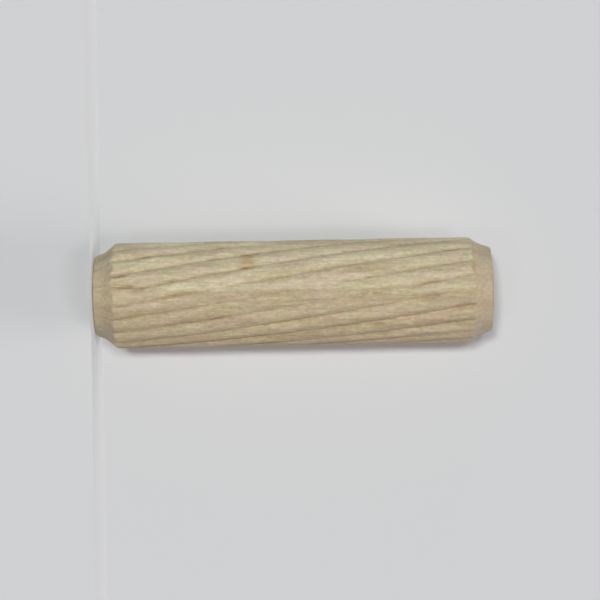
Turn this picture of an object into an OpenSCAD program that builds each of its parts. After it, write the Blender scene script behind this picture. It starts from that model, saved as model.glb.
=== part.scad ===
// Spiral-grooved wooden dowel pin.
// One turned and pressed piece of hardwood that stands on one of its two like ends.
// The pin's axis is +Z and its lower end face lies on Z = 0.

/* [Pin] */
// Length from end face to end face, mm
pin_length = 30; // [20:0.5:60]
// Diameter over the lands, which are the stretches between the grooves, mm
pin_diameter = 8; // [6:0.1:12]

/* [Ends] */
// Length along the axis of the steep shoulder, next to the grooved body, mm
shoulder_length = 0.8; // [0.3:0.05:2]
// How far the steep shoulder drops below the body, on the radius, mm
shoulder_depth = 0.6; // [0.2:0.05:1]
// Length along the axis of the shallow nose, between the shoulder and the end face, mm
nose_length = 0.85; // [0.3:0.05:2]
// How far the shallow nose drops below the shoulder's foot, on the radius, mm
nose_depth = 0.3; // [0.1:0.05:0.9]

/* [Grooves] */
// Number of grooves around the pin
groove_count = 21; // [6:1:28]
// Width of a groove across its mouth, mm
groove_width = 0.4; // [0.1:0.02:0.5]
// Depth of a groove below the lands, mm
groove_depth = 0.18; // [0.06:0.01:0.3]
// Angle between a groove and the pin's axis, degrees
groove_angle = 9.8; // [2:0.1:20]
// Hand of the grooves
groove_hand = "left"; // [left, right]
// Where one groove lies at half height, degrees round the pin from +X
first_groove_at = 268; // [0:1:359]

/* [Hidden] */

// Pale, unfinished beech
beech = "#cdb88e";
// Facets of the turned surfaces where they are drawn as a mesh
round_facets = 96;
// Largest turn of a groove wall from one slice to the next, degrees
slice_turn = 5;
// How far a groove cutter runs past the pin, beyond its surface and beyond each end face
cutter_overrun = 0.5;

pin_radius = pin_diameter / 2;
shoulder_foot_radius = pin_radius - shoulder_depth;
end_face_radius = shoulder_foot_radius - nose_depth;
chamfer_length = nose_length + shoulder_length;

groove_pitch_angle = 360 / groove_count;
cutter_length = pin_length + 2 * cutter_overrun;
cutter_half_width = groove_width / 2 * (groove_depth + cutter_overrun) / groove_depth;
// A groove moves round the pin by tan(groove_angle) for each unit of height
cutter_turn = cutter_length * tan(groove_angle) / pin_radius * 180 / PI;
cutter_slices = ceil(cutter_turn / slice_turn);
// A positive twist turns clockwise on the way up, which is a left-hand groove
twist_sign = groove_hand == "left" ? 1 : -1;

// The turned pin before it is grooved: a cylinder with a two-step chamfer at each end
module turned_blank() {
    rotate_extrude($fn = round_facets)
        polygon([
            [0, 0],
            [end_face_radius, 0],
            [shoulder_foot_radius, nose_length],
            [pin_radius, chamfer_length],
            [pin_radius, pin_length - chamfer_length],
            [shoulder_foot_radius, pin_length - nose_length],
            [end_face_radius, pin_length],
            [0, pin_length]
        ]);
}

// The V of one groove, seen along the axis, with its point on the groove's bottom
module groove_section() {
    polygon([
        [pin_radius - groove_depth, 0],
        [pin_radius + cutter_overrun, -cutter_half_width],
        [pin_radius + cutter_overrun, cutter_half_width]
    ]);
}

// All the grooves, evenly spaced and twisted together.
// They start half the turn early, so that the first one reaches its place at half height.
module groove_cutters() {
    translate([0, 0, -cutter_overrun])
        rotate(first_groove_at + twist_sign * cutter_turn / 2)
            linear_extrude(height = cutter_length, twist = twist_sign * cutter_turn, slices = cutter_slices)
                for (i = [0 : groove_count - 1])
                    rotate(i * groove_pitch_angle)
                        groove_section();
}

module dowel_pin() {
    color(beech)
        difference() {
            turned_blank();
            groove_cutters();
        }
}

dowel_pin();
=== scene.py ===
"""Spiral-grooved beech dowel pin, standing on one end in front of a sheet of paper.

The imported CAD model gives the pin's size and place. This script models the pressed and
turned surface of the wood and its grain, and adds the floor, paper, lights and camera.
"""

import math

import bmesh
import bpy
from mathutils import Matrix, Vector, noise


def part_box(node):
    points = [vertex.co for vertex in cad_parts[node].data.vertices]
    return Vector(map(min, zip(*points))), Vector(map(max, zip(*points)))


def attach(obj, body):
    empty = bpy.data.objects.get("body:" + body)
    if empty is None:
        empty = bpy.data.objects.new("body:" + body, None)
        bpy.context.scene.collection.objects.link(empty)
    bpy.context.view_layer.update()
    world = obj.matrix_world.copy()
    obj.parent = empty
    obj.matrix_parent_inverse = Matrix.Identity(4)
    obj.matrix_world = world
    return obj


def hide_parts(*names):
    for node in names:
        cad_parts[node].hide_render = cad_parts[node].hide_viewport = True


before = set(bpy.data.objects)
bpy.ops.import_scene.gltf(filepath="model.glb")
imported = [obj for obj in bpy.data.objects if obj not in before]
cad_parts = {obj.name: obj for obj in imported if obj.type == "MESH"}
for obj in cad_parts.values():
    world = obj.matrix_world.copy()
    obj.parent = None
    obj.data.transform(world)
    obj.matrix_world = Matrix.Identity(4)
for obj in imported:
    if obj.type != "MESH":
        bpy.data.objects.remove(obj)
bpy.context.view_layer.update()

bl_info = {
    "name": "Spiral Dowel Pin",
    "version": (1, 0, 0),
    "blender": (4, 5, 0),
    "location": "View3D > Sidebar > Dowel Pin",
    "description": "A spiral-grooved wooden dowel pin with its grain, paper backdrop and soft light",
    "category": "Add Mesh",
}

MM = 0.001
# Points of a mesh that are nearer than this, in metres, are the same point
SAME_POINT = 1e-7
PIN_LOW, PIN_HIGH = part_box("dowel_pin")
PIN_RADIUS = (PIN_HIGH.x - PIN_LOW.x) / 2
PIN_LENGTH = PIN_HIGH.z - PIN_LOW.z
PIN_CENTRE = (PIN_LOW + PIN_HIGH) / 2

# Widths in degrees of the lands that face -Y, going round the pin the way +X turns to +Y.
# The lands behind share what is left of the turn.
FRONT_LANDS = (19.4, 18.7, 18.1, 17.6, 17.8, 18.5, 17.9, 18.6, 14.7)
# How much more than the others each groove beside those lands turns, in degrees a millimetre
FRONT_LEANS = (0.04, 0.14, 0.16, 0.06, -0.15, -0.09, 0.09, 0.03, 0.05, -0.1)
# How deep each of those grooves is at the foot and at the head, as shares of the groove depth
FRONT_DEPTHS = (
    (2.1, 1.2),
    (1.45, 0.8),
    (1.55, 0.55),
    (1.15, 1.0),
    (1.0, 0.8),
    (1.3, 0.95),
    (1.6, 1.95),
    (1.5, 2.2),
    (1.9, 1.3),
    (1.1, 1.1),
)
# How dark the crushed wood of each of those grooves is, as a share, partly as painted shade
FRONT_CRUSHES = (1.0, 1.05, 1.3, 0.95, 0.85, 0.75, 0.65, 0.6, 0.7, 0.85)
# The one of those grooves that the front groove setting places
MIDDLE_GROOVE = 4
# Stretches where a groove is hardly pressed in: its number, and the middle and half the length, mm
FAINT_STRETCHES = ((4, 16.5, 4.0), (5, 21.5, 4.0), (3, 9.2, 1.5))
# The groove that bends back near the foot, the height where the bend starts, mm, the turn back from
# there to the foot, in degrees a millimetre, and how much deeper it is there, as a share
HOOKED_GROOVE, HOOK_START, HOOK_TURN, HOOK_DEPTH = 2, 3.6, 4.2, 0.6
# How far a groove sways and jitters to the sides, in degrees, and the height over which each changes, mm.
# A seed here and below picks another line of noise, so that no two changes go together.
SWAY, SWAY_HEIGHT = 0.5, 6.0
JITTER, JITTER_HEIGHT, JITTER_SEED = 0.35, 1.1, 20
# How strongly a groove is pressed in, as shares of the groove depth: in general, the extra at the foot and
# the height where that ends, mm, the least, and what a faint stretch loses in its middle
USUAL_STRENGTH, FOOT_STRENGTH, FOOT_REACH = 0.85, 0.1, 5.0
LEAST_STRENGTH, FAINTNESS = 0.1, 0.55
# How much that strength varies, and the heights over which its slow and quick changes run, mm
STRENGTH_CHANGE = 0.3
SLOW_CHANGE, SLOW_SEED = 5.0, 50
QUICK_CHANGE, QUICK_SEED = 1.3, 90
# How hollow the sides of a groove are: 1 is straight
GROOVE_HOLLOW = 1.45
# Width and length of a fibre and length of a bundle of them, mm, and a fibre's width as a share of a
# bundle's
FIBRE_WIDTH, FIBRE_LENGTH = 0.16, 1.1
BUNDLE_LENGTH, FIBRE_IN_BUNDLE = 4.0, 0.35
# How much fibres and bundles each raise or lower the wood, and how far all of it is let in, as a share of
# the fibre height
FIBRE_SHARE = 0.6
# Depth of the wear along a chamfer's edge, mm, and how close together its dents and nicks are
EDGE_WEAR, DENT_RATE, NICK_RATE = 0.05, 9, 22
# How far a groove shows on the chamfer, how soft the change to the chamfer is, how round the chamfer's
# outer edge is, and how round the corner between its two steps is, mm
GROOVE_ON_CHAMFER, CHAMFER_SOFT, CHAMFER_EDGE, STEP_CORNER = 0.03, 0.04, 0.05, 0.1
# How much of the crushed wood is turned off at the chamfer, as a share
CRUSHED_LOST = 0.6
# Where a mark ends, as a share of its half size, and how firm its edge is
MARK_END, MARK_FIRMNESS = 1.3, 1.6
# Marks on the wood: angle from -Y towards +X in degrees, height, half width and half length, mm
MARKS = {
    "brown_mark": (
        (-35.5, 11.6, 0.6, 0.62),
        (-27.0, 28.4, 0.5, 0.2),
    ),
    "red_mark": (
        (-44.0, 11.55, 0.32, 0.6),
        (-28.5, 11.6, 0.14, 0.75),
        (1.5, 6.0, 0.14, 1.5),
        (-5.8, 3.6, 0.17, 0.5),
        (-20.8, 2.2, 0.12, 0.6),
        (-7.2, 25.0, 0.15, 1.1),
        (-43.0, 7.4, 0.2, 0.25),
        (1.9, 21.2, 0.09, 0.4),
        (28.0, 9.3, 0.11, 0.6),
        (39.5, 18.4, 0.09, 0.35),
        (39.0, 21.2, 0.12, 0.45),
    ),
    "faint_mark": (
        (-7.6, 2.2, 0.22, 0.9),
        (7.5, 19.6, 0.16, 1.0),
        (25.5, 23.3, 0.22, 0.6),
    ),
    # Painted highlights: pale bluish patches, mostly on the lit side towards -X
    "highlight_mark": (
        (-14.0, 2.0, 0.35, 1.4),
        (-40.0, 4.0, 0.35, 1.3),
        (-8.0, 6.6, 0.35, 1.4),
        (-21.0, 11.6, 0.3, 2.0),
        (-32.0, 16.8, 0.4, 2.0),
        (-52.0, 11.0, 0.45, 1.7),
        (15.0, 14.5, 0.3, 1.7),
    ),
    "dark_mark": (
        (-62.0, 2.2, 0.5, 1.5),
        (-60.0, 8.7, 0.4, 1.3),
        (-27.0, 26.8, 0.6, 2.2),
        (16.0, 24.3, 0.35, 1.7),
        (35.0, 6.4, 0.3, 1.5),
        (-14.0, 21.5, 0.4, 2.2),
    ),
}

# Points across a land, and how far they are drawn in towards the grooves, as a share
COLUMNS = 20
COLUMN_CROWDING = 0.62
# Steps round the rim of an end face, and the lengths that the half outline is cut into: across an end
# face, round its rim, along the nose, up the shoulder and over the edge of the body; and along the body
RIM_STEPS = 3
END_CUTS = (4, *(1,) * RIM_STEPS, 5, 7, 12)
BODY_CUTS = 150
# Where the finely cut edge of the body starts and ends, mm before and past the top of the shoulder
EDGE_BEFORE, EDGE_PAST = 0.15, 0.7
# Radius of the blank that is pressed, as a share of the pin's
BLANK_SIZE = 1.01
# How much of an end's rounded rim shows end grain, as a share
RIM_END_GRAIN = 0.6

# The grain's patterns are laid out in millimetres across the grain
PER_METRE = 1000.0
# Where the middle of the tree's growth rings lies on an end face, mm, and how fast the rings repeat
PITH_PLACE = (8.0, 6.0, 0.0)
RING_TURN = 6.0

# Sides of the square floor and sheet, m, and the strengths of the room's light and of the backdrop
FLOOR_SIZE, SHEET_SIZE = 2.0, 0.09
ROOM_LIGHT, BACKDROP_LIGHT = 0.04, 0.65
# How far the camera looks past the pin's middle, towards the head and below its axis in the view, mm
AIM_PAST, AIM_BELOW = 0.49, 0.56
# How far in front of the pin the view starts, mm
VIEW_ROOM = 0.1


# ---------------------------------------------------------------- settings


def length_property(name, description, default_mm):
    """A length shown in the scene's units, with its default in millimetres."""
    return bpy.props.FloatProperty(
        name=name, description=description, default=default_mm * MM, min=0.0, precision=5, unit="LENGTH"
    )


def colour_property(name, description, default):
    """A colour in linear values."""
    return bpy.props.FloatVectorProperty(
        name=name, description=description, default=default, size=3, min=0.0, max=1.2, subtype="COLOR"
    )


class DowelPinEnd(bpy.types.PropertyGroup):
    """Sizes of the stepped chamfer at one end of the pin."""

    shoulder_length: length_property("Shoulder length", "Length of the steep step beside the body", 0.85)
    shoulder_drop: length_property("Shoulder drop", "How far the steep step falls, on the radius", 0.55)
    nose_length: length_property("Nose length", "Length of the shallow step beside the end face", 0.85)
    nose_drop: length_property("Nose drop", "How far the shallow step falls, on the radius", 0.3)
    rim_round: length_property("Rim round", "Radius of the worn edge of the end face", 0.06)
    out_of_square: length_property("Out of square", "How much lower the end face is at its front", 0.0)


class DowelPinShape(bpy.types.PropertyGroup):
    """Sizes of the grooved body."""

    groove_count: bpy.props.IntProperty(
        name="Grooves", description="Number of grooves around the pin", default=21, min=12, max=40
    )
    groove_angle: bpy.props.FloatProperty(
        name="Groove angle",
        description="Angle between a groove and the pin's axis, left-handed",
        default=math.radians(9.8),
        subtype="ANGLE",
    )
    front_groove: bpy.props.FloatProperty(
        name="Front groove",
        description="Where the groove that faces -Y lies at half height, round from +X",
        default=math.radians(267.5),
        subtype="ANGLE",
    )
    groove_width: length_property("Groove width", "Width of a groove with its rounded sides", 1.09)
    groove_depth: length_property("Groove depth", "Depth of a groove of usual strength", 0.165)
    crushed_width: length_property("Crushed width", "Width of the crushed wood along a groove", 0.48)
    fibre_height: length_property("Fibre height", "Height of the wood's fibres on the lands", 0.012)
    foot: bpy.props.PointerProperty(type=DowelPinEnd, name="Foot", description="The lower end")
    head: bpy.props.PointerProperty(type=DowelPinEnd, name="Head", description="The upper end")


class DowelPinFinish(bpy.types.PropertyGroup):
    """Colours of the wood."""

    # This colour is also painted on as pale highlight strokes along the lands
    pale: colour_property("Pale wood", "Colour of the palest streaks", (0.775, 0.675, 0.473))
    straw: colour_property("Straw wood", "Colour of most of the wood", (0.635, 0.523, 0.342))
    tan: colour_property("Tan wood", "Colour of the darker streaks", (0.552, 0.43, 0.275))
    rosy: colour_property("Rosy patches", "Tint of the pinker patches", (1.0, 0.945, 0.985))
    golden: colour_property("Golden patches", "Tint of the yellower patches", (0.985, 1.0, 0.93))
    # Painted light and shade: the wood is painted paler towards -X, where the light falls, and darker towards
    # +X, where it is in shade
    pale_side: colour_property("Pale side", "Tint of the wood towards -X", (1.04, 1.07, 1.07))
    dark_side: colour_property("Dark side", "Tint of the wood towards +X", (0.915, 0.885, 0.845))
    # Painted highlights: the colour of small bright glints on the fibres
    glint: colour_property("Glints", "Colour of the fine bright fibres", (0.88, 0.8, 0.64))
    fleck: colour_property("Flecks", "Colour of the short flecks in the grain", (0.4, 0.24, 0.15))
    # Partly the crushed wood's own colour and partly painted shade in the grooves
    crushed: colour_property("Crushed wood", "Tint of the wood crushed along a groove", (0.805, 0.767, 0.727))
    brown_mark: colour_property("Brown marks", "Tint of the brown stains", (0.9, 0.77, 0.63))
    red_mark: colour_property("Red marks", "Tint of the reddish marks", (0.79, 0.665, 0.57))
    faint_mark: colour_property("Faint marks", "Tint of the soft reddish marks", (0.95, 0.89, 0.85))
    # Painted highlights: the tint of the pale bluish patches on the lit side
    highlight_mark: colour_property("Pale marks", "Tint of the pale streaks", (1.12, 1.15, 1.19))
    dark_mark: colour_property("Dark marks", "Tint of the darker streaks", (0.88, 0.86, 0.83))
    chamfer: colour_property("Chamfers", "Colour of the burnished chamfers", (0.56, 0.45, 0.3))
    foot_chamfer: colour_property("Foot chamfer", "Tint of the chamfer at the foot", (1.13, 1.12, 1.11))
    end_grain: colour_property("End grain", "Colour of the sawn end faces and their rims", (0.36, 0.28, 0.19))
    end_pores: colour_property("End pores", "Colour of the pores in the end faces", (0.24, 0.17, 0.11))
    # Painted shade: the chamfers are darkened towards -X and +X, where they turn away from the light
    pale_chamfer: colour_property("Chamfer at -X", "Tint of the chamfers at -X", (0.81, 0.82, 0.86))
    dark_chamfer: colour_property("Chamfer at +X", "Tint of the chamfers at +X", (0.85, 0.87, 1.03))


class DowelPinStage(bpy.types.PropertyGroup):
    """Paper, light and camera."""

    paper: colour_property("Paper", "Colour of the upright paper", (0.795, 0.8, 0.812))
    floor: colour_property("Floor", "Colour of the floor under the lamps", (0.557, 0.56, 0.568))
    floor_glow: colour_property("Floor glow", "Light added to the floor in the view", (0.213, 0.224, 0.229))
    camera_distance: length_property("Camera distance", "From the pin's axis to the camera", 150)
    view_width: length_property("View width", "Width of the view at the pin's axis", 45.6)
    pin_tilt: bpy.props.FloatProperty(
        name="Pin tilt",
        description="How far the pin is out of level in the view",
        default=math.radians(1.05),
        subtype="ANGLE",
    )


# ---------------------------------------------------------------- the pin's surface


def smooth_min(a, b, reach):
    """The smaller of two lengths, with the corner between them rounded over the reach."""
    mix = max(reach - abs(a - b), 0.0) / reach
    return min(a, b) - mix * mix * reach / 4


def smooth_max(a, b, reach):
    """The larger of two lengths, with the corner between them rounded over the reach."""
    return -smooth_min(-a, -b, reach)


def ease(value):
    """Eases a share from 0 to 1 in and out."""
    value = min(max(value, 0.0), 1.0)
    return value * value * (3 - 2 * value)


def wander(seed, place, scale):
    """A smooth random value near -1 to 1 along one line, different for each seed."""
    # Lines this far apart in the noise have nothing in common
    line = seed * 17.3 + 0.5
    return noise.noise(Vector((line, place / scale, 3.7)))


def bump(offset, half):
    """A smooth bump: 1 in its middle and 0 from half its width outwards."""
    return ease(1 - abs(offset) / half)


class PinSurface:
    """Works out where each point of the grooved and chamfered surface lies."""

    def __init__(self, shape):
        self.shape = shape
        self.twists = self.groove_twists()
        self.places = self.groove_places()

    def groove_twists(self):
        """How far each groove turns round the pin for each metre of height."""
        even = math.tan(self.shape.groove_angle) / PIN_RADIUS
        leans = list(FRONT_LEANS) + [0.0] * (self.shape.groove_count - len(FRONT_LEANS))
        return [even + math.radians(lean) / MM for lean in leans]

    def groove_places(self):
        """Angle of each groove at half height."""
        front = [math.radians(land) for land in FRONT_LANDS]
        spare = (2 * math.pi - sum(front)) / (self.shape.groove_count - len(front))
        lands = front + [spare] * (self.shape.groove_count - len(front) - 1)
        places = [self.shape.front_groove - sum(front[:MIDDLE_GROOVE])]
        for land in lands:
            places.append(places[-1] + land)
        return places

    def groove_angle(self, number, height):
        """Angle of one groove at a height: a left-hand spiral that wanders a little."""
        turns, groove = divmod(number, self.shape.groove_count)
        sway = math.radians(SWAY) * wander(groove, height, SWAY_HEIGHT * MM)
        jitter = math.radians(JITTER) * wander(groove + JITTER_SEED, height, JITTER_HEIGHT * MM)
        offset = height - PIN_LENGTH / 2
        hook = 0.0
        if groove == HOOKED_GROOVE:
            hook = math.radians(HOOK_TURN) * max(HOOK_START - height / MM, 0.0)
        straight = self.places[groove] + turns * 2 * math.pi - self.twists[groove] * offset
        return straight + sway + jitter - hook

    def groove_strengths(self, number, height):
        """How deep one groove is at a height, and how dark its crushed wood is, as shares."""
        groove = number % self.shape.groove_count
        strength = USUAL_STRENGTH + FOOT_STRENGTH * (1 - ease(height / (FOOT_REACH * MM)))
        slow = wander(groove + SLOW_SEED, height, SLOW_CHANGE * MM)
        quick = wander(groove + QUICK_SEED, height, QUICK_CHANGE * MM)
        strength += STRENGTH_CHANGE * slow + STRENGTH_CHANGE * quick
        for faint_groove, middle, half in FAINT_STRETCHES:
            if groove == faint_groove:
                strength *= 1 - FAINTNESS * bump(height - middle * MM, half * MM)
        if groove == HOOKED_GROOVE:
            strength *= 1 + HOOK_DEPTH * ease(HOOK_START - height / MM)
        depth = crush = max(strength, LEAST_STRENGTH)
        if groove < len(FRONT_DEPTHS):
            at_foot, at_head = FRONT_DEPTHS[groove]
            depth *= at_foot + (at_head - at_foot) * height / PIN_LENGTH
            crush *= FRONT_CRUSHES[groove]
        return depth, crush

    def end_radius(self, end, depth):
        """Radius of an end's stepped chamfer at a depth in from its end face."""
        foot_of_shoulder = PIN_RADIUS - end.shoulder_drop
        nose = foot_of_shoulder + (depth - end.nose_length) * end.nose_drop / end.nose_length
        shoulder = foot_of_shoulder + (depth - end.nose_length) * end.shoulder_drop / end.shoulder_length
        return smooth_max(nose, shoulder, STEP_CORNER * MM)

    def land(self, number, share, height):
        """Angle and radius of a point on a land, share 0 to 1 across it, and how far it is crushed."""
        start = self.groove_angle(number, height)
        stop = self.groove_angle(number + 1, height)
        width = (stop - start) * PIN_RADIUS
        shape = self.shape
        valley = 0.0
        crushed = 0.0
        for groove, gap in ((number, share * width), (number + 1, (1 - share) * width)):
            depth, crush = self.groove_strengths(groove, height)
            valley = max(valley, depth * max(1 - 2 * gap / shape.groove_width, 0.0) ** GROOVE_HOLLOW)
            crushed = max(crushed, crush * max(1 - 2 * gap / shape.crushed_width, 0.0))
        return start + share * (stop - start), PIN_RADIUS - shape.groove_depth * valley, crushed

    def fibres(self, angle, height):
        """Height of the fibres at a point, which run along the pin, not along the grooves."""
        across = angle * PIN_RADIUS / (FIBRE_WIDTH * MM)
        bundles = noise.noise(Vector((across * FIBRE_IN_BUNDLE, height / (BUNDLE_LENGTH * MM), 7.1)))
        single = noise.noise(Vector((across, height / (FIBRE_LENGTH * MM), 1.3)))
        return self.shape.fibre_height * (FIBRE_SHARE * bundles + FIBRE_SHARE * single - FIBRE_SHARE)

    def edge_wear(self, angle):
        """How far the edge of a chamfer is broken back at an angle."""
        around = Vector((math.cos(angle), math.sin(angle), 4.0))
        dents = EDGE_WEAR * MM * noise.noise(around * DENT_RATE)
        nicks = EDGE_WEAR * MM * noise.noise(around * NICK_RATE)
        return dents + nicks

    def point(self, number, share, outline_radius, height):
        """Angle and radius of a point, and how far it is crushed and cut."""
        shape = self.shape
        angle, radius, crushed = self.land(number, share, height)
        radius += self.fibres(angle, height)
        wear = self.edge_wear(angle)
        foot = self.end_radius(shape.foot, height + wear)
        head = self.end_radius(shape.head, PIN_LENGTH - height + wear)
        chamfer = min(foot, head) - GROOVE_ON_CHAMFER * MM * crushed
        cut = ease((radius - chamfer) / (CHAMFER_SOFT * MM))
        radius = min(smooth_min(radius, chamfer, CHAMFER_EDGE * MM), outline_radius)
        return angle, radius, crushed * (1 - CRUSHED_LOST * cut), cut

    def mark(self, marks, angle, height):
        """How strong the strongest of some marks is at a point. Marks run along the grooves."""
        twist = self.twists[-1]
        strength = 0.0
        for place, middle, half_width, half_length in marks:
            offset = height - middle * MM
            turn = angle + twist * offset - math.radians(place - 90)
            across = (turn + math.pi) % (2 * math.pi) - math.pi
            across *= PIN_RADIUS / (half_width * MM)
            along = offset / (half_length * MM)
            inside = 1 - math.hypot(across, along) / MARK_END
            strength = max(strength, ease(MARK_FIRMNESS * inside))
        return strength


# ---------------------------------------------------------------- meshes


def rim_points(radius, height, rim_round, side):
    """Points of the rounded rim from the end face to the nose; side is 1 at the foot and -1 at the head."""
    points = []
    for step in range(RIM_STEPS + 1):
        turn = math.pi / 2 * step / RIM_STEPS
        inward = rim_round * (1 - math.sin(turn))
        inside = rim_round * (1 - math.cos(turn))
        points.append((radius - inward, height + side * inside))
    return points


def pin_outline(shape):
    """Corners of the pin's half outline, from the foot's middle to the head's, and the cuts between them."""
    foot, head = shape.foot, shape.head
    foot_radius = PIN_RADIUS - foot.shoulder_drop - foot.nose_drop
    head_radius = PIN_RADIUS - head.shoulder_drop - head.nose_drop
    foot_top = foot.nose_length + foot.shoulder_length
    head_top = PIN_LENGTH - head.nose_length - head.shoulder_length
    blank = PIN_RADIUS * BLANK_SIZE
    before, past = EDGE_BEFORE * MM, EDGE_PAST * MM
    corners = [(0.0, 0.0)]
    corners += rim_points(foot_radius, 0.0, foot.rim_round, 1)
    corners += [(blank, foot.nose_length), (blank, foot_top - before), (blank, foot_top + past)]
    corners += [(blank, head_top - past), (blank, head_top + before), (blank, PIN_LENGTH - head.nose_length)]
    corners += reversed(rim_points(head_radius, PIN_LENGTH, head.rim_round, -1))
    corners.append((0.0, PIN_LENGTH))
    cuts = [*END_CUTS, BODY_CUTS, *reversed(END_CUTS)]
    return corners, cuts


def draw_outline(bm, corners, cuts):
    """Draws the half outline as edges in the XZ plane, each cut into even lengths, and joins them."""
    for first, second, count in zip(corners, corners[1:], cuts):
        ends = [bm.verts.new((radius, 0.0, height)) for radius, height in (first, second)]
        edge = bm.edges.new(ends)
        if count > 1:
            bmesh.ops.subdivide_edges(bm, edges=[edge], cuts=count - 1)
    bmesh.ops.remove_doubles(bm, verts=bm.verts[:], dist=SAME_POINT)


def crowded(share):
    """Draws an evenly spaced share across a land in towards the nearer groove."""
    return share - COLUMN_CROWDING * math.sin(2 * math.pi * share) / (2 * math.pi)


def press_pin_surface(bm, shape):
    """Moves each point of the turned blank onto the grooved, chamfered surface."""
    surface = PinSurface(shape)
    crushed_layer, cut_layer, end_layer = (
        bm.verts.layers.float.new(name) for name in ("crushed", "cut", "end_face")
    )
    mark_layers = [(bm.verts.layers.float.new(name), marks) for name, marks in MARKS.items()]
    total = shape.groove_count * COLUMNS
    rim_of_foot = RIM_END_GRAIN * shape.foot.rim_round
    rim_of_head = PIN_LENGTH - RIM_END_GRAIN * shape.head.rim_round
    for vert in bm.verts:
        height = vert.co.z
        outline_radius = math.hypot(vert.co.x, vert.co.y)
        vert[end_layer] = 1.0 if height < rim_of_foot or height > rim_of_head else 0.0
        if outline_radius < SAME_POINT:
            vert[cut_layer] = 1.0
            continue
        column = round(math.atan2(vert.co.y, vert.co.x) / (2 * math.pi) * total) % total
        number, step = divmod(column, COLUMNS)
        share = crowded(step / COLUMNS)
        angle, radius, crushed, cut = surface.point(number, share, outline_radius, height)
        vert.co.x = radius * math.cos(angle)
        vert.co.y = radius * math.sin(angle)
        vert[crushed_layer] = crushed
        vert[cut_layer] = cut
        for layer, marks in mark_layers:
            vert[layer] = surface.mark(marks, angle, height)


def square_off_head(bm, head):
    """Tips the head's end face, which was sawn a little out of square, and stretches the nose to meet it."""
    nose_start = PIN_LENGTH - head.nose_length
    rim_radius = PIN_RADIUS - head.shoulder_drop - head.nose_drop
    for vert in bm.verts:
        if vert.co.z > nose_start:
            share = (vert.co.z - nose_start) / head.nose_length
            front = min(max((rim_radius - vert.co.y) / (2 * rim_radius), 0.0), 1.0)
            vert.co.z -= head.out_of_square * front * share


def turn_pin(shape):
    """Spins the half outline into a closed blank and presses its surface."""
    bm = bmesh.new()
    corners, cuts = pin_outline(shape)
    draw_outline(bm, corners, cuts)
    bmesh.ops.spin(
        bm,
        geom=bm.verts[:] + bm.edges[:],
        cent=(0.0, 0.0, 0.0),
        axis=(0.0, 0.0, 1.0),
        dvec=(0.0, 0.0, 0.0),
        angle=2 * math.pi,
        steps=shape.groove_count * COLUMNS,
        use_merge=True,
        use_duplicate=False,
    )
    bmesh.ops.remove_doubles(bm, verts=bm.verts[:], dist=SAME_POINT)
    press_pin_surface(bm, shape)
    square_off_head(bm, shape.head)
    bmesh.ops.recalc_face_normals(bm, faces=bm.faces[:])
    for face in bm.faces:
        face.smooth = True
    mesh = bpy.data.meshes.new("grooved_pin")
    bm.to_mesh(mesh)
    bm.free()
    return mesh


def add_object(name, mesh):
    """Puts a mesh in the scene as an object at the origin."""
    piece = bpy.data.objects.new(name, mesh)
    bpy.context.scene.collection.objects.link(piece)
    return piece


# ---------------------------------------------------------------- materials


class NodeBoard:
    """Adds and links the nodes of one material."""

    def __init__(self, tree):
        self.tree = tree
        self.tree.nodes.clear()

    def add(self, kind, inputs=None, **settings):
        """Adds a node, sets it up, and gives each named or numbered input a value or a link."""
        node = self.tree.nodes.new(kind)
        for name, value in settings.items():
            setattr(node, name, value)
        for key, value in (inputs or {}).items():
            socket = node.inputs[key]
            if isinstance(value, bpy.types.NodeSocket):
                self.tree.links.new(value, socket)
            else:
                socket.default_value = value
        return node

    def maths(self, operation, first, second=0.0):
        """A Math node's result."""
        return self.add("ShaderNodeMath", {0: first, 1: second}, operation=operation).outputs[0]

    def ramp(self, value, low, high, to_low=0.0, to_high=1.0):
        """A value moved smoothly from one range to another, and held at the ends."""
        node = self.add(
            "ShaderNodeMapRange",
            {"Value": value, "From Min": low, "From Max": high, "To Min": to_low, "To Max": to_high},
            interpolation_type="SMOOTHSTEP",
        )
        return node.outputs["Result"]

    def mix(self, share, first, second, blend="MIX"):
        """Two colours mixed by a share."""
        node = self.add("ShaderNodeMix", data_type="RGBA", blend_type=blend)
        for socket, value in ((node.inputs[0], share), (node.inputs[6], first), (node.inputs[7], second)):
            if isinstance(value, bpy.types.NodeSocket):
                self.tree.links.new(value, socket)
            elif isinstance(value, (int, float)):
                socket.default_value = value
            else:
                socket.default_value = (*value, 1.0)
        return node.outputs[2]

    def noise(self, vector, scale, detail=2.0, roughness=0.5):
        """Noise from 0 to 1 at a place."""
        node = self.add(
            "ShaderNodeTexNoise",
            {"Vector": vector, "Scale": scale, "Detail": detail, "Roughness": roughness},
        )
        return node.outputs["Fac"]

    def attribute(self, name):
        """A value kept on the mesh's points."""
        return self.add("ShaderNodeAttribute", attribute_name=name).outputs["Fac"]

    def grey(self, value):
        """A grey of a value."""
        return self.add("ShaderNodeCombineColor", {0: value, 1: value, 2: value}).outputs[0]

    def tint(self, colour, by):
        """A colour multiplied by a tint."""
        return self.mix(1.0, colour, by, "MULTIPLY")

    def shown(self):
        """1 for the rays that show a backdrop: from the camera, off a glossy surface or through glass."""
        path = self.add("ShaderNodeLightPath")
        seen = self.maths("MAXIMUM", path.outputs["Is Camera Ray"], path.outputs["Is Glossy Ray"])
        return self.maths("MAXIMUM", seen, path.outputs["Is Transmission Ray"])

    def times(self, value, factor):
        """A value multiplied by another."""
        return self.maths("MULTIPLY", value, factor)

    def stretch(self, vector, along, location=(0.0, 0.0, 0.0)):
        """A place in millimetres across the grain, and in units of its own along it, along to a metre."""
        scale = (PER_METRE, PER_METRE, along)
        node = self.add("ShaderNodeMapping", {"Vector": vector, "Scale": scale, "Location": location})
        return node.outputs["Vector"]


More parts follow.
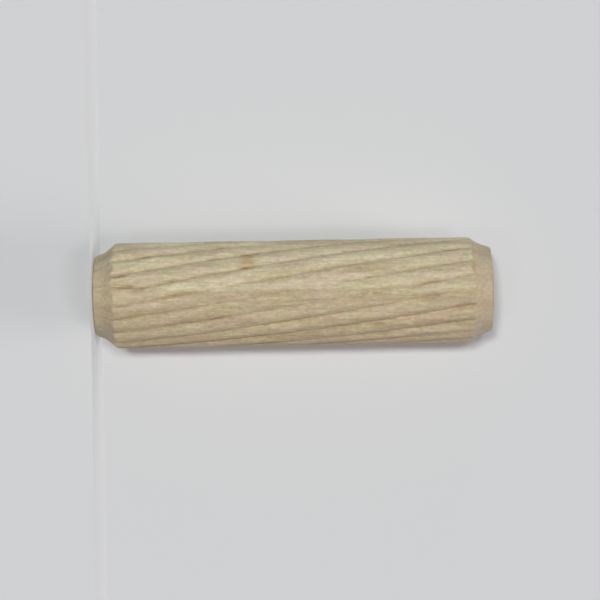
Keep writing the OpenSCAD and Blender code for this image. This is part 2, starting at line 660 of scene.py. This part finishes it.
class Grain:
    """The patterns of the wood that its colours and its relief share."""

    def __init__(self, board):
        self.place = board.add("ShaderNodeTexCoord").outputs["Object"]
        axes = board.add("ShaderNodeSeparateXYZ", {0: self.place}).outputs
        self.sideways, self.height = axes["X"], axes["Z"]
        self.crushed = board.attribute("crushed")
        self.cut = board.attribute("cut")
        self.long = board.stretch(self.place, 70.0)
        self.short = board.stretch(self.place, 300.0)
        self.streaks = board.noise(self.long, 1.1, 3.0, 0.6)
        self.fibres = board.noise(board.stretch(self.place, 160.0), 6.0, 3.0, 0.65)
        self.mottle = board.noise(board.stretch(self.place, 600.0), 4.5, 2.0, 0.7)


def streaked_wood(board, grain, finish):
    """The long streaks and soft patches of the wood, with painted light towards -X and painted shade towards
    +X.
    """
    wood = board.mix(board.ramp(grain.streaks, 0.35, 0.65), finish.straw, finish.pale)
    dark_streaks = board.ramp(board.noise(grain.long, 2.3, 2.0), 0.52, 0.7)
    wood = board.mix(board.times(dark_streaks, 0.6), wood, finish.tan)
    patches = board.noise(board.stretch(grain.place, 450.0, (3.0, 7.0, 1.0)), 1.15, 3.0, 0.55)
    rosy, golden = board.tint(wood, finish.rosy), board.tint(wood, finish.golden)
    wood = board.mix(board.ramp(patches, 0.36, 0.64), rosy, golden)
    # Painted light and shade across the pin: paler towards -X, darker towards +X
    side = board.ramp(grain.sideways, -1.6 * MM, 1.6 * MM)
    return board.tint(wood, board.mix(side, finish.pale_side, finish.dark_side))


def fibrous_wood(board, grain, finish, wood):
    """Adds the fibres, mottle, specks and short flecks to the streaks, and painted highlights: pale strokes
    and glints.
    """
    # Painted highlights: short pale strokes along the lands where the fibres catch the light
    strokes = board.ramp(board.noise(grain.short, 2.0, 2.0, 0.6), 0.52, 0.7)
    wood = board.mix(board.times(strokes, 0.45), wood, finish.pale)
    wood = board.tint(wood, board.grey(board.ramp(grain.fibres, 0.28, 0.72, 0.87, 1.09)))
    wood = board.tint(wood, board.grey(board.ramp(grain.mottle, 0.3, 0.7, 0.92, 1.08)))
    # Painted highlights: small bright glints on the fibres
    glints = board.ramp(board.noise(grain.short, 6.0, 1.0), 0.62, 0.74)
    wood = board.mix(board.times(glints, 0.45), wood, finish.glint)
    specks = board.ramp(board.noise(grain.short, 5.0, 2.0), 0.58, 0.74)
    wood = board.mix(board.times(specks, 0.3), wood, finish.tan)
    flecks = board.ramp(board.noise(grain.short, 2.6, 1.0), 0.64, 0.74)
    in_groove = board.ramp(grain.crushed, 0.0, 0.8, 0.1, 0.6)
    return board.mix(board.times(flecks, in_groove), wood, finish.fleck)


def crushed_wood_and_groove_shade(board, grain, finish, wood):
    """Darkens the wood crushed along the grooves: partly its own colour, partly painted shade in the grooves.
    """
    darkened = board.times(
        board.ramp(grain.crushed, 0.0, 1.0), board.ramp(grain.fibres, 0.25, 0.75, 1.1, 0.75)
    )
    return board.mix(darkened, wood, board.tint(wood, finish.crushed))


def burnished_wood(board, grain, finish):
    """The burnished chamfers, which differ at the foot, with painted shade towards the two sides."""
    wood = board.mix(board.ramp(grain.streaks, 0.3, 0.7), finish.chamfer, finish.straw)
    middle = PIN_CENTRE.z
    from_foot = board.ramp(grain.height, middle - MM, middle)
    wood = board.mix(from_foot, board.tint(wood, finish.foot_chamfer), wood)
    # Painted shade: the chamfers darken towards -X and +X
    for low, high, tint in ((-0.9, -3.2, finish.pale_chamfer), (0.9, 3.2, finish.dark_chamfer)):
        sideways = board.ramp(grain.sideways, low * MM, high * MM)
        wood = board.mix(sideways, wood, board.tint(wood, tint))
    wood = board.tint(wood, board.grey(board.ramp(grain.mottle, 0.3, 0.7, 0.9, 1.08)))
    # The crushed tint where grooves run onto the chamfers: partly the wood's colour, partly painted shade
    return board.mix(board.times(grain.crushed, 0.8), wood, board.tint(wood, finish.crushed))


def marked_wood(board, grain, finish, wood):
    """Tints the marks, the pale ones as painted highlights, broken up along the grain."""
    broken = board.ramp(board.noise(grain.short, 3.2, 2.0), 0.3, 0.6, 0.45, 1.0)
    for name in MARKS:
        marked = board.times(board.attribute(name), broken)
        wood = board.mix(marked, wood, board.tint(wood, getattr(finish, name)))
    return wood


def sawn_end(board, grain, finish):
    """The growth rings and pores of an end face."""
    place = board.stretch(grain.place, PER_METRE)
    distance = board.add("ShaderNodeVectorMath", {0: place, 1: PITH_PLACE}, operation="DISTANCE")
    uneven = board.times(board.noise(place, 0.8, 1.0), 0.25)
    from_pith = board.maths("ADD", distance.outputs["Value"], uneven)
    rings = board.ramp(board.maths("SINE", board.times(from_pith, RING_TURN)), -0.2, 1.0, 0.0, 0.6)
    pores = board.ramp(board.noise(place, 9.0, 2.0), 0.52, 0.7, 0.0, 0.8)
    wood = board.mix(rings, finish.end_grain, finish.chamfer)
    return board.mix(pores, wood, finish.end_pores)


def wood_surface(board, grain, wood):
    """A dull surface with the relief of the fibres, smoother on the chamfers."""
    relief = board.maths("ADD", board.times(grain.fibres, 0.6), board.noise(grain.short, 14.0, 2.0))
    relief_height = board.ramp(grain.cut, 0.0, 1.0, 0.6, 0.25)
    relief_node = board.add(
        "ShaderNodeBump", {"Height": relief, "Strength": relief_height, "Distance": 0.03 * MM}
    )
    surface = board.add(
        "ShaderNodeBsdfPrincipled",
        {
            "Base Color": wood,
            "Roughness": board.ramp(grain.fibres, 0.3, 0.7, 0.62, 0.8),
            "Specular IOR Level": 0.15,
            "Sheen Weight": 0.15,
            "Sheen Roughness": 0.4,
            "Normal": relief_node.outputs["Normal"],
        },
    )
    board.add("ShaderNodeOutputMaterial", {"Surface": surface.outputs[0]})


def beech_material(finish):
    """Pale straight-grained beech with crushed grooves, burnished chamfers, marks and sawn ends."""
    material = bpy.data.materials.new("beech")
    material.use_nodes = True
    board = NodeBoard(material.node_tree)
    grain = Grain(board)
    wood = streaked_wood(board, grain, finish)
    wood = fibrous_wood(board, grain, finish, wood)
    wood = crushed_wood_and_groove_shade(board, grain, finish, wood)
    wood = board.mix(board.times(grain.cut, 0.8), wood, burnished_wood(board, grain, finish))
    wood = marked_wood(board, grain, finish, wood)
    wood = board.mix(board.attribute("end_face"), wood, sawn_end(board, grain, finish))
    wood_surface(board, grain, wood)
    return material


def paper_material(name, colour, glow):
    """Matt paper that is seen from its front only. Its glow is added only where the paper itself is seen."""
    material = bpy.data.materials.new(name)
    material.use_nodes = True
    board = NodeBoard(material.node_tree)
    behind = board.add("ShaderNodeNewGeometry").outputs["Backfacing"]
    paper = board.add("ShaderNodeBsdfDiffuse", {"Color": (*colour, 1.0)}).outputs[0]
    glowing = board.add("ShaderNodeEmission", {"Color": (*glow, 1.0), "Strength": board.shown()}).outputs[0]
    front = board.add("ShaderNodeAddShader", {0: paper, 1: glowing}).outputs[0]
    clear = board.add("ShaderNodeBsdfTransparent").outputs[0]
    sides = board.add("ShaderNodeMixShader", {0: behind, 1: front, 2: clear}).outputs[0]
    board.add("ShaderNodeOutputMaterial", {"Surface": sides})
    return material


# ---------------------------------------------------------------- stage


def add_plane(name, size, place):
    """A square sheet made by the grid operator and moved to its place."""
    bm = bmesh.new()
    bmesh.ops.create_grid(bm, x_segments=1, y_segments=1, size=size / 2)
    bmesh.ops.transform(bm, matrix=place, verts=bm.verts[:])
    mesh = bpy.data.meshes.new(name)
    bm.to_mesh(mesh)
    bm.free()
    return add_object(name, mesh)


def add_floor(stage):
    """The pale floor that the pin stands on."""
    floor = add_plane("floor", FLOOR_SIZE, Matrix.Translation((0.0, 0.0, PIN_LOW.z)))
    floor.data.materials.append(paper_material("floor_paper", stage.floor, stage.floor_glow))
    floor.visible_shadow = False
    floor.visible_diffuse = False
    floor.visible_glossy = False


def add_paper(stage):
    """The upright sheet of paper that touches the pin's back."""
    upright = Matrix.Rotation(math.pi / 2, 4, "X")
    place = Matrix.Translation((0.0, PIN_HIGH.y, PIN_CENTRE.z)) @ upright
    sheet = add_plane("paper_sheet", SHEET_SIZE, place)
    sheet.data.materials.append(paper_material("sheet_paper", stage.paper, (0.0, 0.0, 0.0)))
    sheet.visible_shadow = False


def add_sun(name, off_axis, turn, strength, spread, tint=(1.0, 1.0, 1.0)):
    """A sun off_axis degrees away from straight in front, at -Y, turned round from the head towards -X."""
    light = bpy.data.lights.new(name, "SUN")
    light.energy = strength
    light.angle = math.radians(spread)
    light.color = tint
    lamp = bpy.data.objects.new(name, light)
    off_axis, turn = math.radians(off_axis), math.radians(turn)
    sideways = math.sin(off_axis)
    toward = Vector((-sideways * math.sin(turn), -math.cos(off_axis), sideways * math.cos(turn)))
    lamp.rotation_mode = "QUATERNION"
    lamp.rotation_quaternion = toward.to_track_quat("Z", "Y")
    bpy.context.scene.collection.objects.link(lamp)
    return light


def add_lights():
    """Two soft key lights in front, fills round them, one strong light past the head, a weak one to the
    side, and two lamps behind for the pin's back."""
    key, fill, side = (0.96, 1.01, 1.01), (1.1, 0.97, 0.97), (0.94, 1.01, 1.1)
    add_sun("key_foot", 12, 135, 1.07, 8, key)
    add_sun("key_head", 10, 60, 0.6, 8, key)
    add_sun("fill_head", 24, 330, 0.28, 12, fill)
    add_sun("fill_foot", 24, 210, 0.12, 12, fill)
    add_sun("fill_high", 24, 150, 0.03, 12)
    add_sun("fill_low", 24, 270, 0.04, 12, fill)
    add_sun("over_head", 70, 350, 0.77, 22, (1.07, 0.98, 0.97))
    add_sun("high_side", 70, 90, 0.08, 22, side)
    # The last two reach the pin's back through the sheet. Their light isn't passed on to the sheet's front
    add_sun("back", 174, 0, 1.5, 20).cycles.max_bounces = 0
    add_sun("back_high", 120, 20, 0.5, 40).cycles.max_bounces = 0


def background(board, strength):
    """White light of one strength from all round."""
    return board.add("ShaderNodeBackground", {"Color": (1.0, 1.0, 1.0, 1.0), "Strength": strength}).outputs[0]


def add_world():
    """Faint even light from all round, which the camera and reflections see as a pale grey backdrop."""
    world = bpy.data.worlds.new("soft_room")
    world.use_nodes = True
    bpy.context.scene.world = world
    board = NodeBoard(world.node_tree)
    room = background(board, ROOM_LIGHT)
    backdrop = background(board, BACKDROP_LIGHT)
    both = board.add("ShaderNodeMixShader", {0: board.shown(), 1: room, 2: backdrop}).outputs[0]
    board.add("ShaderNodeOutputWorld", {"Surface": both})


def add_camera(stage):
    """A camera square to the pin's side, turned so that the pin lies across the view with its head right."""
    camera = bpy.data.cameras.new("camera")
    camera.lens = camera.sensor_width * stage.camera_distance / stage.view_width
    tilt = stage.pin_tilt
    right = Vector((math.sin(tilt), 0.0, math.cos(tilt)))
    back = Vector((0.0, -1.0, 0.0))
    up = back.cross(right)
    viewer = bpy.data.objects.new("camera", camera)
    aim = PIN_CENTRE + right * AIM_PAST * MM - up * AIM_BELOW * MM
    turn = Matrix((right, up, back)).transposed().to_4x4()
    viewer.matrix_world = Matrix.Translation(aim + back * stage.camera_distance) @ turn
    # The near part of the floor is edge-on here, so the view starts just in front of the pin
    camera.clip_start = stage.camera_distance - PIN_RADIUS - VIEW_ROOM * MM
    bpy.context.scene.collection.objects.link(viewer)
    bpy.context.scene.camera = viewer


# ---------------------------------------------------------------- operators


class MakeDowelPin(bpy.types.Operator):
    """Model the grooved dowel pin and give it its beech finish"""

    bl_idname = "dowel_pin.make_pin"
    bl_label = "Make Dowel Pin"

    def execute(self, context):
        mesh = turn_pin(context.scene.dowel_pin_shape)
        mesh.materials.append(beech_material(context.scene.dowel_pin_finish))
        pin = add_object("grooved_pin", mesh)
        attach(pin, "root")
        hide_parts("dowel_pin")
        return {"FINISHED"}


class MakeStage(bpy.types.Operator):
    """Add the floor, the paper, the lights and the camera"""

    bl_idname = "dowel_pin.make_stage"
    bl_label = "Make Stage"

    def execute(self, context):
        stage = context.scene.dowel_pin_stage
        add_floor(stage)
        add_paper(stage)
        add_lights()
        add_world()
        add_camera(stage)
        return {"FINISHED"}


def list_settings(layout, settings):
    """Lists a group's settings, and those of the groups inside it under their names."""
    for name in settings.__annotations__:
        value = getattr(settings, name)
        if isinstance(value, bpy.types.PropertyGroup):
            layout.label(text=settings.bl_rna.properties[name].name)
            list_settings(layout, value)
        else:
            layout.prop(settings, name)


class DowelPinPanel(bpy.types.Panel):
    """Lists the pin's settings and operators"""

    bl_idname = "VIEW3D_PT_dowel_pin"
    bl_label = "Dowel Pin"
    bl_space_type = "VIEW_3D"
    bl_region_type = "UI"
    bl_category = "Dowel Pin"

    def draw(self, context):
        scene = context.scene
        for settings in (scene.dowel_pin_shape, scene.dowel_pin_finish, scene.dowel_pin_stage):
            list_settings(self.layout, settings)
        self.layout.operator(MakeDowelPin.bl_idname)
        self.layout.operator(MakeStage.bl_idname)


CLASSES = (
    DowelPinEnd,
    DowelPinShape,
    DowelPinFinish,
    DowelPinStage,
    MakeDowelPin,
    MakeStage,
    DowelPinPanel,
)


def register():
    """Adds the classes and the scene's settings."""
    for cls in CLASSES:
        bpy.utils.register_class(cls)
    bpy.types.Scene.dowel_pin_shape = bpy.props.PointerProperty(type=DowelPinShape)
    bpy.types.Scene.dowel_pin_finish = bpy.props.PointerProperty(type=DowelPinFinish)
    bpy.types.Scene.dowel_pin_stage = bpy.props.PointerProperty(type=DowelPinStage)


def unregister():
    """Takes them away again."""
    del bpy.types.Scene.dowel_pin_stage
    del bpy.types.Scene.dowel_pin_finish
    del bpy.types.Scene.dowel_pin_shape
    for cls in reversed(CLASSES):
        bpy.utils.unregister_class(cls)


def set_two_ends(shape):
    """Gives the two ends their own sizes, because they were cut a little differently."""
    shape.foot.shoulder_length = 0.86 * MM
    shape.foot.shoulder_drop = 0.72 * MM
    shape.foot.nose_length = 0.76 * MM
    shape.foot.nose_drop = 0.28 * MM
    shape.foot.rim_round = 0.1 * MM
    shape.head.shoulder_length = 0.74 * MM
    shape.head.shoulder_drop = 0.5 * MM
    shape.head.nose_length = 1.0 * MM
    shape.head.nose_drop = 0.3 * MM
    shape.head.out_of_square = 0.11 * MM


def main():
    """Builds the pin and its stage."""
    register()
    bpy.context.scene.view_settings.view_transform = "Standard"
    set_two_ends(bpy.context.scene.dowel_pin_shape)
    bpy.ops.dowel_pin.make_pin()
    bpy.ops.dowel_pin.make_stage()


if __name__ == "__main__":
    main()
